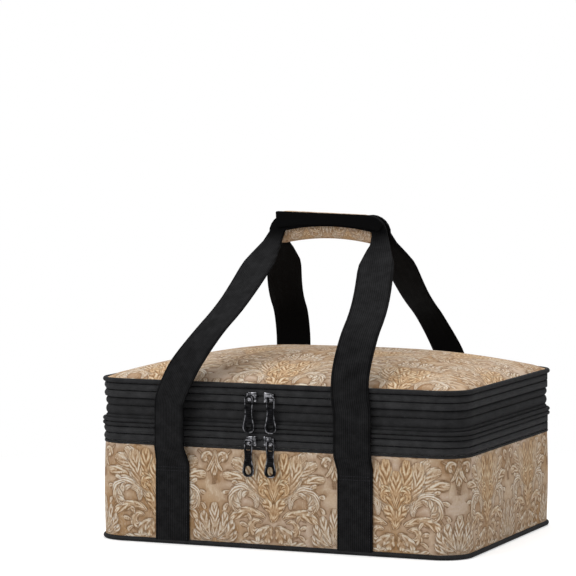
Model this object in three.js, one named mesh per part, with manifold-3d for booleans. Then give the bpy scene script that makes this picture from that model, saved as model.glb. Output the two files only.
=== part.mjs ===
// Casserole carrier: an insulated bag with two zipped compartments, one above the other. The upper one
// rises on a folded gusset. Two webbing loops, sewn to the front and back walls, meet in a padded grip.
// Millimetres, +Z up, front wall towards -Y, origin on the floor under the middle of the bag.

import * as THREE from 'three';
import { mergeVertices } from 'three/addons/utils/BufferGeometryUtils.js';
import Module from 'manifold-3d';

const wasm = await Module();
wasm.setup();

// Bag in plan
const bagWidth = 400;
const bagDepth = 300;
const cornerRadius = 30;
const cornerSteps = 4;
const clearance = 0.3;

// Layers of the walls, floor and lid
const clothThickness = 1.2;
const foamThickness = 5;
const linerThickness = 0.8;
const boardThickness = 2.8;
const dividerFoamThickness = 3;
const lidFoamEdge = 8;
const lidCrown = 25;
const crownPower = 2.4;
const crownRings = [1, 0.93, 0.8, 0.6, 0.33];

// Heights of the bands round the bag, from the floor up
const pipingDiameter = 5;
const wallHeight = 95;
const bindingHeight = 2.4;
const zipTapeHeight = 7;
const zipOpening = 0.8;
const beadDiameter = 4.1;
const foldedGussetHeight = 2.2;
const ringBandLowerHeight = 9.7;
const ringBandUpperHeight = 7.8;
const beadSides = 8;

// How far each band lies inside (or, when negative, outside) the printed wall's face
const pipingInset = 0;
const bindingInset = -0.8;
const bindingThickness = 2;
const lowerTapeInset = -0.6;
const tapeThickness = 2;
const beadInset = -0.6;
const upperTapeInset = 0;
const ringBandInset = 1.6;
const gussetFoldDepth = 7.6;
const zipEndBeforeCorner = 2;
const hingeRelief = 1.4;

// Webbing loops
const strapWidth = 38;
const strapThickness = 1.8;
const strapCentre = 100;
const loopOffset = 12;
const legSway = 15;
const strapFootTop = 82;
const riserTop = 104;
const legJointHeight = 140;
const roundEndSteps = 3;
const strapStandOff = 9;
const overLidHeight = 176;
const overLidRadius = 60;
const legArcSteps = 5;
const legStraightLength = 5;
const foldedWebbingWidth = 17;
const foldedWebbingThickness = 4;
const legEndWidth = 13;
const foldLength = 46;

// Grip
const gripLength = 100;
const gripBandBottom = 314;
const gripBandSpacing = 11;
const gripBandArch = 4.5;
const gripBandDip = 2;
const wrapSetBack = 4;
const wrapPadding = 3;
const wrapDrop = 12;
const wrapArch = 8;
const gripSteps = 6;

// Zip sliders and pulls
const sliderSpacing = 24;
const sliderOffset = 14;
const sliderWidth = 8;
const sliderHeight = 12;
const sliderThickness = 3;
const bridgeWidth = 3;
const bridgeHeight = 8;
const bridgeBar = 1.3;
const bridgeReach = 3;
const pullLength = 38;
const pullTopWidth = 7.6;
const pullEndWidth = 10;
const pullThickness = 1.6;
const pullBar = 1.8;
const pullRail = 1.2;
const pullWindowHeight = 10;
const pullHoleWidth = 4.4;
const pullHoleLength = 8;
const pullRimWidth = 2.6;
const pullSegments = 6;

// Heights worked out from the bands
const wallBottom = pipingDiameter + clearance;
const wallTop = wallBottom + wallHeight;
const bindingBottom = wallTop + clearance;
const lowerTapeBottom = bindingBottom + bindingHeight + clearance;
const lowerZipHeight = lowerTapeBottom + zipTapeHeight + zipOpening / 2;
const deckTapeBottom = lowerZipHeight + zipOpening / 2;
const lowerBeadBottom = deckTapeBottom + zipTapeHeight + clearance;
const upperBeadBottom = lowerBeadBottom + beadDiameter + clearance;
const gussetBottom = upperBeadBottom + beadDiameter + clearance;
const ringBottom = gussetBottom + foldedGussetHeight + clearance;
const ringBandUpperBottom = ringBottom + ringBandLowerHeight + clearance;
const upperTapeBottom = ringBandUpperBottom + ringBandUpperHeight + clearance;
const upperZipHeight = upperTapeBottom + zipTapeHeight + zipOpening / 2;
const lidTapeBottom = upperZipHeight + zipOpening / 2;
const lidPipingBottom = lidTapeBottom + zipTapeHeight + clearance;
const lidEdge = lidPipingBottom + pipingDiameter;

// Insets worked out from the layers
const foamInset = clothThickness + clearance;
const linerInset = foamInset + foamThickness + clearance;
const floorInset = pipingInset + pipingDiameter / 2 + clearance;
const dividerInset = beadInset + beadDiameter / 2 + clearance;
const ringFoamInset = Math.max(ringBandInset + clothThickness, upperTapeInset + tapeThickness) + clearance;
const ringLinerInset = ringFoamInset + foamThickness + clearance;
const lidInset = pipingInset + pipingDiameter / 2 + clearance;
const lidPadInset = Math.max(lidInset, upperTapeInset + tapeThickness + clearance);
const gussetInset = dividerInset + clothThickness;

// Materials, one for each finish
function finish(color, roughness, metalness = 0) {
  return new THREE.MeshStandardMaterial({ color, roughness, metalness });
}
const printedCloth = finish('#b59b7c', 0.85);
const blackCloth = finish('#1f1f20', 0.8);
const blackWebbing = finish('#191919', 0.75);
const zipTape = finish('#232324', 0.7);
const foil = finish('#c4c6c8', 0.35, 0.6);
const foam = finish('#e9e7e1', 0.95);
const board = finish('#5a5754', 0.8);
const gunmetal = finish('#2b2c2e', 0.35, 0.9);

function piece(parent, name, geometry, material) {
  const mesh = new THREE.Mesh(geometry, material);
  mesh.name = name;
  parent.add(mesh);
}

// Points of the bag's outline drawn in by an inset, one corner's arc after another, starting front right
function cornerArc(inset, sideX, sideY) {
  const radius = Math.max(cornerRadius - inset, clearance);
  const centreX = sideX * (bagWidth / 2 - inset - radius);
  const centreY = sideY * (bagDepth / 2 - inset - radius);
  const start = { '1,-1': -90, '1,1': 0, '-1,1': 90, '-1,-1': 180 }[`${sideX},${sideY}`];
  return Array.from({ length: cornerSteps + 1 }, (_, step) => {
    const angle = THREE.MathUtils.degToRad(start + (90 * step) / cornerSteps);
    return new THREE.Vector2(centreX + radius * Math.cos(angle), centreY + radius * Math.sin(angle));
  });
}

function outline(inset) {
  return [[1, -1], [1, 1], [-1, 1], [-1, -1]].flatMap(([x, y]) => cornerArc(inset, x, y));
}

function extrude(shape, bottom, top) {
  const geometry = new THREE.ExtrudeGeometry(shape, { depth: top - bottom, bevelEnabled: false });
  return geometry.translate(0, 0, bottom);
}

function plate(inset, bottom, top) {
  return extrude(new THREE.Shape(outline(inset)), bottom, top);
}

// A band all round the bag, from one inset to a deeper one
function band(inset, thickness, bottom, top) {
  const shape = new THREE.Shape(outline(inset));
  shape.holes.push(new THREE.Path(outline(inset + thickness)));
  return extrude(shape, bottom, top);
}

// A band round the front and sides (side -1), or round the back (side 1), ending before the back corners
function openBand(inset, thickness, bottom, top, side) {
  const endY = bagDepth / 2 - cornerRadius - zipEndBeforeCorner - (side < 0 ? clearance : 0);
  const run = (depth) => {
    const endX = bagWidth / 2 - depth;
    const arcs = side < 0
      ? [...cornerArc(depth, -1, -1), ...cornerArc(depth, 1, -1)]
      : [...cornerArc(depth, 1, 1), ...cornerArc(depth, -1, 1)];
    const first = new THREE.Vector2(side * endX, endY);
    const last = new THREE.Vector2(-side * endX, endY);
    return [first, ...arcs, last];
  };
  return extrude(new THREE.Shape([...run(inset), ...run(inset + thickness).reverse()]), bottom, top);
}

// Joins rings of points into a closed skin: capped at its ends, or closed on itself
function skin(rings, closed) {
  const count = rings[0].length;
  const positions = rings.flat().flatMap((point) => [point.x, point.y, point.z]);
  const index = [];
  const spans = closed ? rings.length : rings.length - 1;
  for (let ring = 0; ring < spans; ring += 1) {
    const next = (ring + 1) % rings.length;
    for (let side = 0; side < count; side += 1) {
      const beside = (side + 1) % count;
      const [here, there] = [ring * count, next * count];
      index.push(here + side, here + beside, there + beside, here + side, there + beside, there + side);
    }
  }
  if (!closed) {
    const last = (rings.length - 1) * count;
    for (let side = 1; side < count - 1; side += 1) {
      index.push(0, side + 1, side, last, last + side, last + side + 1);
    }
  }
  return facingOut(positions, index);
}

function facingOut(positions, index) {
  const corner = (place) => new THREE.Vector3().fromArray(positions, index[place] * 3);
  let volume = 0;
  for (let place = 0; place < index.length; place += 3) {
    volume += corner(place).dot(corner(place + 1).cross(corner(place + 2)));
  }
  const geometry = new THREE.BufferGeometry();
  geometry.setAttribute('position', new THREE.Float32BufferAttribute(positions, 3));
  geometry.setIndex(volume < 0 ? index.slice().reverse() : index);
  return geometry;
}

// A round cord sewn all round the bag
function cordRing(inset, bottom, diameter) {
  const radius = diameter / 2;
  const rings = Array.from({ length: beadSides }, (_, side) => {
    const angle = (2 * Math.PI * (side + 0.5)) / beadSides;
    const height = bottom + radius + (radius * Math.sin(angle)) / Math.cos(Math.PI / beadSides);
    const depth = inset + (radius * Math.cos(angle)) / Math.cos(Math.PI / beadSides);
    return outline(depth).map((point) => new THREE.Vector3(point.x, point.y, height));
  });
  return skin(rings, true);
}

// A crowned layer of the lid: rings shrink towards the middle as they rise
function crownedRings(inset, edge, drop) {
  return crownRings.map((share) => outline(inset).map((point) => {
    const height = edge + lidCrown * (1 - share ** crownPower) - drop;
    return new THREE.Vector3(point.x * share, point.y * share, height);
  }));
}

function solid(geometry) {
  const bare = geometry.clone();
  bare.deleteAttribute('normal');
  bare.deleteAttribute('uv');
  const merged = mergeVertices(bare, 1e-4);
  return new wasm.Manifold(new wasm.Mesh({
    numProp: 3,
    vertProperties: new Float32Array(merged.attributes.position.array),
    triVerts: new Uint32Array(merged.index.array),
  }));
}

function meshOf(manifold) {
  const { vertProperties, triVerts } = manifold.getMesh();
  const geometry = new THREE.BufferGeometry();
  geometry.setAttribute('position', new THREE.BufferAttribute(vertProperties, 3));
  geometry.setIndex(new THREE.BufferAttribute(triVerts, 1));
  return geometry;
}

// Base: the lower compartment's floor, walls and lining, with the lower tape of its zip
const base = new THREE.Group();
const floorClothTop = clothThickness;
const floorFoamTop = floorClothTop + clearance + foamThickness;
const boardTop = floorFoamTop + clearance + boardThickness;
const linerBottom = boardTop + clearance;
const linerTop = lowerZipHeight - hingeRelief;

piece(base, 'bottom_panel', plate(floorInset, 0, floorClothTop), blackCloth);
piece(base, 'bottom_piping', cordRing(pipingInset, 0, pipingDiameter), blackCloth);
piece(base, 'floor_foam', plate(linerInset, floorClothTop + clearance, floorFoamTop), foam);
piece(base, 'base_board', plate(linerInset, floorFoamTop + clearance, boardTop), board);
piece(base, 'lower_wall', band(0, clothThickness, wallBottom, wallTop), printedCloth);
piece(base, 'lower_foam', band(foamInset, foamThickness, wallBottom, linerTop), foam);
const tubOutside = solid(plate(linerInset, linerBottom, linerTop));
const tubInside = solid(plate(linerInset + linerThickness, linerBottom + linerThickness, linerTop + 1));
piece(base, 'lower_liner', meshOf(tubOutside.subtract(tubInside)), foil);
piece(base, 'lower_binding',
  band(bindingInset, bindingThickness, bindingBottom, bindingBottom + bindingHeight), blackCloth);
piece(base, 'lower_zip_base_tape',
  openBand(lowerTapeInset, tapeThickness, lowerTapeBottom, lowerTapeBottom + zipTapeHeight, -1), zipTape);
piece(base, 'deck_hinge_strip',
  openBand(lowerTapeInset, tapeThickness, lowerTapeBottom, lowerZipHeight - hingeRelief, 1), blackCloth);

// Deck: the upper compartment's floor, turning up at the back on the lower zip's hinge strip
const deck = new THREE.Group();
const dividerLinerBottom = lowerBeadBottom;
const dividerBoardBottom = dividerLinerBottom + linerThickness + clearance;
const dividerFoamBottom = dividerBoardBottom + boardThickness + clearance;
const dividerTopBottom = dividerFoamBottom + dividerFoamThickness + clearance;
const dividerTop = dividerTopBottom + linerThickness;

piece(deck, 'lower_zip_deck_tape',
  openBand(lowerTapeInset, tapeThickness, deckTapeBottom, deckTapeBottom + zipTapeHeight, -1), zipTape);
const deckTapeTop = deckTapeBottom + zipTapeHeight;
piece(deck, 'deck_rear_band',
  openBand(lowerTapeInset, tapeThickness, lowerZipHeight + hingeRelief, deckTapeTop, 1), blackCloth);
piece(deck, 'deck_bead_lower', cordRing(beadInset, lowerBeadBottom, beadDiameter), blackCloth);
piece(deck, 'deck_bead_upper', cordRing(beadInset, upperBeadBottom, beadDiameter), blackCloth);
piece(deck, 'divider_lower_liner',
  plate(dividerInset, dividerLinerBottom, dividerLinerBottom + linerThickness), foil);
piece(deck, 'divider_board',
  plate(dividerInset, dividerBoardBottom, dividerBoardBottom + boardThickness), board);
piece(deck, 'divider_foam',
  plate(dividerInset, dividerFoamBottom, dividerFoamBottom + dividerFoamThickness), foam);
piece(deck, 'divider_upper_liner', plate(dividerInset, dividerTopBottom, dividerTop), foil);
const gussetFloor = Math.max(gussetBottom, dividerTop + clearance);
piece(deck, 'expansion_gusset',
  band(gussetInset, gussetFoldDepth, gussetFloor, ringBottom - clearance), printedCloth);

// Upper ring: the bands above the gusset, with the lower tape of the lid's zip
const ring = new THREE.Group();
const ringTop = upperZipHeight - hingeRelief;

piece(ring, 'ring_band_lower',
  band(ringBandInset, clothThickness, ringBottom, ringBottom + ringBandLowerHeight), blackCloth);
const ringBandTop = ringBandUpperBottom + ringBandUpperHeight;
piece(ring, 'ring_band_upper',
  band(ringBandInset, clothThickness, ringBandUpperBottom, ringBandTop), blackCloth);
piece(ring, 'ring_foam', band(ringFoamInset, foamThickness, ringBottom, ringTop), foam);
piece(ring, 'ring_liner', band(ringLinerInset, linerThickness, ringBottom, ringTop), foil);
piece(ring, 'upper_zip_ring_tape',
  openBand(upperTapeInset, tapeThickness, upperTapeBottom, upperTapeBottom + zipTapeHeight, -1), zipTape);
piece(ring, 'lid_hinge_strip',
  openBand(upperTapeInset, tapeThickness, upperTapeBottom, ringTop, 1), blackCloth);

// Lid: a crowned printed cover over padding and foil, edged by piping
const lid = new THREE.Group();
const lidLinerBottom = upperZipHeight + hingeRelief;
const lidFoamBottom = lidLinerBottom + linerThickness + clearance;
const lidFoamDrop = Math.max(clothThickness + clearance, lidEdge - lidFoamBottom - lidFoamEdge);

piece(lid, 'upper_zip_lid_tape',
  openBand(upperTapeInset, tapeThickness, lidTapeBottom, lidTapeBottom + zipTapeHeight, -1), zipTape);
piece(lid, 'lid_rear_band',
  openBand(upperTapeInset, tapeThickness, lidLinerBottom, lidTapeBottom + zipTapeHeight, 1), blackCloth);
piece(lid, 'lid_piping', cordRing(pipingInset, lidPipingBottom, pipingDiameter), blackCloth);
const coverInside = crownedRings(lidInset, lidEdge, clothThickness).reverse();
piece(lid, 'lid_cover', skin([...coverInside, ...crownedRings(lidInset, lidEdge, 0)], false), printedCloth);
const foamSole = [outline(lidPadInset).map((point) => new THREE.Vector3(point.x, point.y, lidFoamBottom))];
piece(lid, 'lid_foam', skin([...foamSole, ...crownedRings(lidPadInset, lidEdge, lidFoamDrop)], false), foam);
piece(lid, 'lid_liner', plate(lidPadInset, lidLinerBottom, lidLinerBottom + linerThickness), foil);

// Webbing: each leg is sewn flat to the wall up to its foot's top, stands off from the bands on a slanted
// riser, goes up past the bands and over the lid's edge, and leans in to the grip, where it is folded narrow.
// Riser, lower leg and upper leg meet at round ends, where the webbing bends as the loops part.
const footY = bagDepth / 2 + clearance + strapThickness / 2;
const freeY = bagDepth / 2 + strapStandOff + strapThickness / 2;
const endGap = strapThickness / 2 + clearance;
const footEnd = [footY, strapFootTop + endGap];
const riserEnd = [freeY, riserTop];
const legJoint = [freeY, legJointHeight];
const leanStartHeight = legJointHeight + legStraightLength;
const leanStart = [freeY, leanStartHeight];
const gripY = gripBandSpacing / 2;
const gripBandTop = gripBandBottom + foldedWebbingWidth;
const legTopX = gripLength / 2 + legEndWidth / 2 + clearance;

// The point at a distance along the run from one point of the webbing's middle to another
function pointAlong([depth, height], [endDepth, endHeight], distance) {
  const share = distance / Math.hypot(endDepth - depth, endHeight - height);
  return [THREE.MathUtils.lerp(depth, endDepth, share), THREE.MathUtils.lerp(height, endHeight, share)];
}

// A flat strip through stations, each with its middle, width and thickness
function strip(stations) {
  const middles = stations.map((station) => station.middle);
  const rings = stations.map((station, place) => {
    const before = middles[Math.max(place - 1, 0)];
    const after = middles[Math.min(place + 1, middles.length - 1)];
    const along = after.clone().sub(before).normalize();
    const outward = new THREE.Vector3(0, along.z, -along.y).normalize();
    const across = along.clone().cross(outward).multiplyScalar(station.width / 2);
    outward.multiplyScalar(station.thickness / 2);
    return [[1, 1], [-1, 1], [-1, -1], [1, -1]].map(([a, b]) => station.middle.clone()
      .addScaledVector(across, a).addScaledVector(outward, b));
  });
  return skin(rings, false);
}

// Stations of the round end on a bend line, with the run that starts there
function roundEnd(bend, towards) {
  return Array.from({ length: roundEndSteps }, (_, step) => {
    const angle = (Math.PI / 2) * ((step + 1) / roundEndSteps);
    const along = (-strapThickness / 2) * Math.cos(angle);
    return [...pointAlong(bend, towards, along), strapThickness * Math.sin(angle)];
  });
}

// Stations of a straight run between two bend lines, ending short of the second one's round end
function straightRun(bend, next) {
  return [...roundEnd(bend, next), pointAlong(next, bend, endGap)];
}

// How far a leg is from its even place across the bag: the loops are sewn a little to the left, and their legs
// sway to one side in front and to the other behind, between the lid and the grip
function sideways(y, height) {
  const share = THREE.MathUtils.clamp((height - leanStartHeight) / (gripBandBottom - leanStartHeight), 0, 1);
  const centred = THREE.MathUtils.smoothstep(share, 0, 1);
  return loopOffset * (centred - 1) - y * legSway * Math.sin(Math.PI * share) ** 2;
}

// A station on a leg; x and y are the signs of its corner of the bag
function stationAt(x, y, [depth, height, thickness = strapThickness], across, width) {
  const middle = new THREE.Vector3(x * across + sideways(y, height), y * depth, height);
  return { middle, width, thickness };
}

function flatStrip(x, y, run) {
  return strip(run.map((point) => stationAt(x, y, point, strapCentre, strapWidth)));
}

// One leg from its joint to the grip
function upperLeg(x, y) {
  const run = [leanStart, [freeY, overLidHeight]];
  const reach = freeY - overLidRadius - gripY;
  const rise = gripBandBottom - overLidHeight;
  const lean = Math.atan2(reach, rise) + Math.asin(overLidRadius / Math.hypot(reach, rise));
  for (let step = 1; step <= legArcSteps; step += 1) {
    const angle = (lean * step) / legArcSteps;
    const inward = overLidRadius * (1 - Math.cos(angle));
    run.push([freeY - inward, overLidHeight + overLidRadius * Math.sin(angle)]);
  }
  const legEnd = [gripY, gripBandBottom];
  run.push(pointAlong(legEnd, run[run.length - 1], foldLength));
  const free = [...roundEnd(legJoint, leanStart), ...run].map((point) => {
    const share = (point[1] - leanStartHeight) / (gripBandBottom - leanStartHeight);
    const across = THREE.MathUtils.lerp(strapCentre, legTopX, Math.max(share, 0));
    return stationAt(x, y, point, across, strapWidth);
  });
  const folded = [legEnd, [gripY, gripBandTop]].map((point) => (
    stationAt(x, y, [...point, foldedWebbingThickness], legTopX, legEndWidth)));
  return strip([...free, ...folded]);
}

// Sections along the grip, from end to end, given the depths and the heights at a share of its half length
function alongGrip(length, section) {
  return skin(Array.from({ length: gripSteps + 1 }, (_, step) => {
    const share = (2 * step) / gripSteps - 1;
    const { front, back, low, high } = section(1 - share * share);
    return [[back, high], [front, high], [front, low], [back, low]]
      .map(([depth, height]) => new THREE.Vector3((share * length) / 2, depth, height));
  }), false);
}

// The folded webbing along the grip: its lower edge is arched and its upper edge dips
function gripBand(middle, margin) {
  return alongGrip(gripLength, (swell) => ({
    front: middle - foldedWebbingThickness / 2 - margin,
    back: middle + foldedWebbingThickness / 2 + margin,
    low: gripBandBottom + gripBandArch * swell - margin,
    high: gripBandTop - gripBandDip * swell + margin,
  }));
}

// The padded wrap: a printed sleeve round the rear loop's webbing, with the front loop's against it
function gripWrap() {
  const outside = alongGrip(gripLength - 2 * wrapSetBack, (swell) => ({
    front: -gripY + foldedWebbingThickness / 2 + clearance,
    back: gripY + foldedWebbingThickness / 2 + clearance + wrapPadding,
    low: gripBandBottom - wrapDrop + wrapArch * swell,
    high: gripBandTop + clearance + wrapPadding,
  }));
  return meshOf(solid(outside).subtract(solid(gripBand(gripY, clearance))));
}

const handles = new THREE.Group();
for (const [end, y] of [['front', -1], ['rear', 1]]) {
  for (const [hand, x] of [['left', -1], ['right', 1]]) {
    const side = `${end}_${hand}_strap`;
    piece(base, `${side}_foot`, flatStrip(x, y, [[footY, wallBottom], [footY, strapFootTop]]), blackWebbing);
    piece(handles, `${side}_riser`, flatStrip(x, y, straightRun(footEnd, riserEnd)), blackWebbing);
    piece(handles, `${side}_lower_leg`, flatStrip(x, y, straightRun(riserEnd, legJoint)), blackWebbing);
    piece(handles, `${side}_upper_leg`, upperLeg(x, y), blackWebbing);
  }
  piece(handles, `${end}_grip_webbing`, gripBand(y * gripY, 0), blackWebbing);
}
piece(handles, 'grip_wrap', gripWrap(), printedCloth);

// Zip slider: a flat body in front of the two tapes, with an arched bridge that holds the pull's bar
function sliderGeometry() {
  const body = new THREE.BoxGeometry(sliderWidth, sliderThickness, sliderHeight);
  body.translate(0, -sliderThickness / 2, 0);
  const front = sliderThickness / 2;
  const reach = sliderThickness + bridgeReach + bridgeBar;
  const arch = new THREE.BoxGeometry(bridgeWidth, reach - front, bridgeHeight);
  arch.translate(0, -(front + reach) / 2, 0);
  const slot = new THREE.BoxGeometry(sliderWidth, bridgeReach, bridgeHeight - 2 * bridgeBar);
  slot.translate(0, -sliderThickness - bridgeReach / 2, 0);
  return meshOf(solid(body).add(solid(arch)).subtract(solid(slot)));
}

// Pull: a drop-shaped plate with a window for the bridge and an oval hole at its end
function pullGeometry() {
  const top = pullBar / 2;
  const roundRadius = pullEndWidth / 2;
  const roundHeight = top - pullLength + roundRadius;
  const shape = new THREE.Shape();
  shape.moveTo(pullTopWidth / 2, top);
  shape.lineTo(-pullTopWidth / 2, top);
  shape.lineTo(-pullTopWidth / 2, top - pullWindowHeight);
  shape.lineTo(-roundRadius, roundHeight);
  shape.absarc(0, roundHeight, roundRadius, Math.PI, 2 * Math.PI, false);
  shape.lineTo(pullTopWidth / 2, top - pullWindowHeight);
  const windowX = pullTopWidth / 2 - pullRail;
  const window = new THREE.Path();
  window.moveTo(windowX, -top);
  window.lineTo(windowX, -top - pullWindowHeight);
  window.lineTo(-windowX, -top - pullWindowHeight);
  window.lineTo(-windowX, -top);
  shape.holes.push(window);
  const hole = new THREE.Path();
  const holeLow = top - pullLength + pullRimWidth + pullHoleWidth / 2;
  const holeHigh = holeLow + pullHoleLength - pullHoleWidth;
  hole.absarc(0, holeHigh, pullHoleWidth / 2, 0, Math.PI, false);
  hole.absarc(0, holeLow, pullHoleWidth / 2, Math.PI, 2 * Math.PI, false);
  shape.holes.push(hole);
  const settings = { depth: pullThickness, bevelEnabled: false, curveSegments: pullSegments };
  const geometry = new THREE.ExtrudeGeometry(shape, settings).translate(0, 0, -pullThickness / 2);
  return geometry.rotateX(Math.PI / 2);
}

const zips = new THREE.Group();
const zipLines = [['upper', upperZipHeight, upperTapeInset], ['lower', lowerZipHeight, lowerTapeInset]];
for (const [level, height, inset] of zipLines) {
  for (const [hand, x] of [['left', -1], ['right', 1]]) {
    const place = new THREE.Group();
    const across = (x * sliderSpacing) / 2 - sliderOffset;
    place.position.set(across, -bagDepth / 2 + inset - clearance, height);
    piece(place, `${level}_${hand}_slider`, sliderGeometry(), gunmetal);
    const hung = new THREE.Group();
    hung.position.y = -sliderThickness - bridgeReach / 2;
    piece(hung, `${level}_${hand}_pull`, pullGeometry(), gunmetal);
    place.add(hung);
    zips.add(place);
  }
}

const carrier = new THREE.Group();
carrier.add(base, deck, ring, lid, handles, zips);
export default carrier;
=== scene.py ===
import math
import bpy
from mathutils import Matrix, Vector


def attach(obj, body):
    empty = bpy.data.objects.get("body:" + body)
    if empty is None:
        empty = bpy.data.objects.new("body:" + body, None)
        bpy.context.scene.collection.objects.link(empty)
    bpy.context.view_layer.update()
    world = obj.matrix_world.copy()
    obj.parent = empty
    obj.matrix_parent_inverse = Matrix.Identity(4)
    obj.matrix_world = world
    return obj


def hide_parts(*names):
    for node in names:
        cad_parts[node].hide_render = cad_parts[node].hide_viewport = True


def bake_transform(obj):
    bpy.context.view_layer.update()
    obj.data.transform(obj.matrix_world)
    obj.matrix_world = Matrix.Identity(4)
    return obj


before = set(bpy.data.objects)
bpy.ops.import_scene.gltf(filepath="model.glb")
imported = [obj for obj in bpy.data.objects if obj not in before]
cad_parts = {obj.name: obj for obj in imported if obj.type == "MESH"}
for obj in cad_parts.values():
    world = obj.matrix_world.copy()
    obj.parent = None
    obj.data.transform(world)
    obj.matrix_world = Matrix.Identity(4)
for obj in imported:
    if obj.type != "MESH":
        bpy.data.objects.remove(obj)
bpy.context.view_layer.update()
bpy.ops.object.select_all(action="DESELECT")

# Camera: a long lens in front of the carrier and to its right, a little above the lid, so that the front
# and the right end show and the lid is a narrow strip. It is aimed above the bag, which lies low in the
# frame. Lengths that end in pixels, and the middle's two offsets, are in the picture's pixels.
mm = 0.001
view_turn = math.radians(21.87)
view_rise = math.radians(6.88)
view_distance = 3.082
view_height = 80
film_width = 36
focal_pixels = 2919
frame_pixels = 576
middle_left = 41.8
middle_up = 166.6
away = Vector((math.sin(view_turn) * math.cos(view_rise), -math.cos(view_turn) * math.cos(view_rise),
               math.sin(view_rise)))
rightward = Vector((math.cos(view_turn), math.sin(view_turn), 0))
upward = away.cross(rightward)
aim = -away * focal_pixels - rightward * middle_left + upward * middle_up
bpy.ops.object.camera_add(location=Vector((0, 0, view_height * mm)) + away * view_distance)
camera = bpy.context.object
camera.rotation_euler = aim.to_track_quat("-Z", "Y").to_euler()
camera.data.sensor_width = film_width
camera.data.lens = film_width * focal_pixels / frame_pixels
camera.data.clip_end = 50
bpy.context.scene.camera = camera
bpy.context.scene.view_settings.view_transform = "Standard"


# Studio: a pale floor under a white sky, with a broad key lamp at the front left, a faint one at the right
# and a large soft one overhead. The floor is lifted to white for the camera, keeps the shadow near the
# carrier and turns into the sky's white further off.
def sum_node(operation, turned=False):
    """A method that adds a Math node for a thread and another value, turned round for a reflected form."""

    def add(self, other=0.0):
        first, second = (other, self) if turned else (self, other)
        return self.node("Math", {"operation": operation}, {0: first, 1: second})

    return add


class Thread:
    """A socket of a material. Sums on it add Math nodes, and node() adds any other."""

    def __init__(self, tree, socket=None):
        self.tree = tree
        self.socket = socket

    def node(self, kind, settings, sockets, outlet=0):
        made = self.tree.nodes.new("ShaderNode" + kind)
        for name, value in settings.items():
            if name == "stops":
                for place, shade in value[1:-1]:
                    made.color_ramp.elements.new(place)
                for element, (place, shade) in zip(made.color_ramp.elements, value):
                    element.position = place
                    element.color = shade
            else:
                setattr(made, name, value)
        for name, value in sockets.items():
            if isinstance(value, Thread):
                self.tree.links.new(value.socket, made.inputs[name])
            else:
                made.inputs[name].default_value = value
        return Thread(self.tree, made.outputs[outlet])

    def outlet(self, name):
        return Thread(self.tree, self.socket.node.outputs[name])

    def feed(self, shader, name):
        self.tree.links.new(self.socket, shader.inputs[name])

    __add__ = sum_node("ADD")
    __radd__ = sum_node("ADD", turned=True)
    __sub__ = sum_node("SUBTRACT")
    __rsub__ = sum_node("SUBTRACT", turned=True)
    __mul__ = sum_node("MULTIPLY")
    __rmul__ = sum_node("MULTIPLY", turned=True)
    __truediv__ = sum_node("DIVIDE")
    __mod__ = sum_node("FLOORED_MODULO")
    __pow__ = sum_node("POWER")
    __abs__ = sum_node("ABSOLUTE")
    __round__ = sum_node("ROUND")
    wave = sum_node("SINE")
    turn_from = sum_node("ARCTAN2")
    zigzag = sum_node("PINGPONG")
    top = sum_node("MAXIMUM")
    low = sum_node("MINIMUM")

    def step(self, start, end):
        return self.node("MapRange", {"interpolation_type": "SMOOTHSTEP"}, {0: self, 1: start, 2: end})

    def between(self, first, second):
        return self.node("Mix", {}, {0: self, 2: first, 3: second})

    def dye(self, first, second):
        return self.node("Mix", {"data_type": "RGBA"}, {0: self, 6: first, 7: second}, 2)


def colour(code):
    parts = [int(code[place:place + 2], 16) / 255 for place in (1, 3, 5)]
    return (*[part / 12.92 if part < 0.04045 else ((part + 0.055) / 1.055) ** 2.4 for part in parts], 1)


def seen_straight(tree):
    """One for what the camera sees, mirrored or not, and zero for the light that falls on things."""
    path = Thread(tree).node("LightPath", {}, {})
    return path.top(path.outlet("Is Glossy Ray")).top(path.outlet("Is Transmission Ray"))


def new_finish(name, even):
    """A new material with its shader's even values set, the shader, and a thread to add nodes with."""
    material = bpy.data.materials.new(name)
    material.use_nodes = True
    shader = material.node_tree.nodes["Principled BSDF"]
    for socket, value in even.items():
        shader.inputs[socket].default_value = value
    return material, shader, Thread(material.node_tree)


bpy.ops.mesh.primitive_plane_add(size=14, location=(0, 0, -0.3 * mm))
floor = bpy.context.object
floor.name = "floor"
floor_look = {"Base Color": (0.82, 0.82, 0.82, 1), "Roughness": 0.9, "Specular IOR Level": 0.0,
              "Emission Strength": 0.42}
floor_paint, floor_shader, floor_blank = new_finish("floor_paint", floor_look)
floor_tree = floor_paint.node_tree
shadow_end, white_start = 0.28, 0.75
seen_straight(floor_tree).dye((0, 0, 0, 1), (1, 1, 1, 1)).feed(floor_shader, "Emission Color")
spot = floor_blank.node("TexCoord", {}, {}, "Object")
distance = spot.node("VectorMath", {"operation": "LENGTH"}, {0: spot}, "Value")
far_off = distance.step(shadow_end, white_start) * seen_straight(floor_tree)
glow = spot.node("Emission", {}, {"Color": (1, 1, 1, 1), "Strength": 1.0})
near = Thread(floor_tree, floor_shader.outputs["BSDF"])
ground = far_off.node("MixShader", {}, {0: far_off, 1: near, 2: glow})
ground.feed(floor_tree.nodes["Material Output"], "Surface")
floor.data.materials.append(floor_paint)

sky = bpy.data.worlds.new("sky")
bpy.context.scene.world = sky
sky.use_nodes = True
sky_light = sky.node_tree.nodes["Background"]
seen_straight(sky.node_tree).between(0.35, 1.0).feed(sky_light, "Strength")
sky_light.inputs["Color"].default_value = (1, 1, 1, 1)

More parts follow.
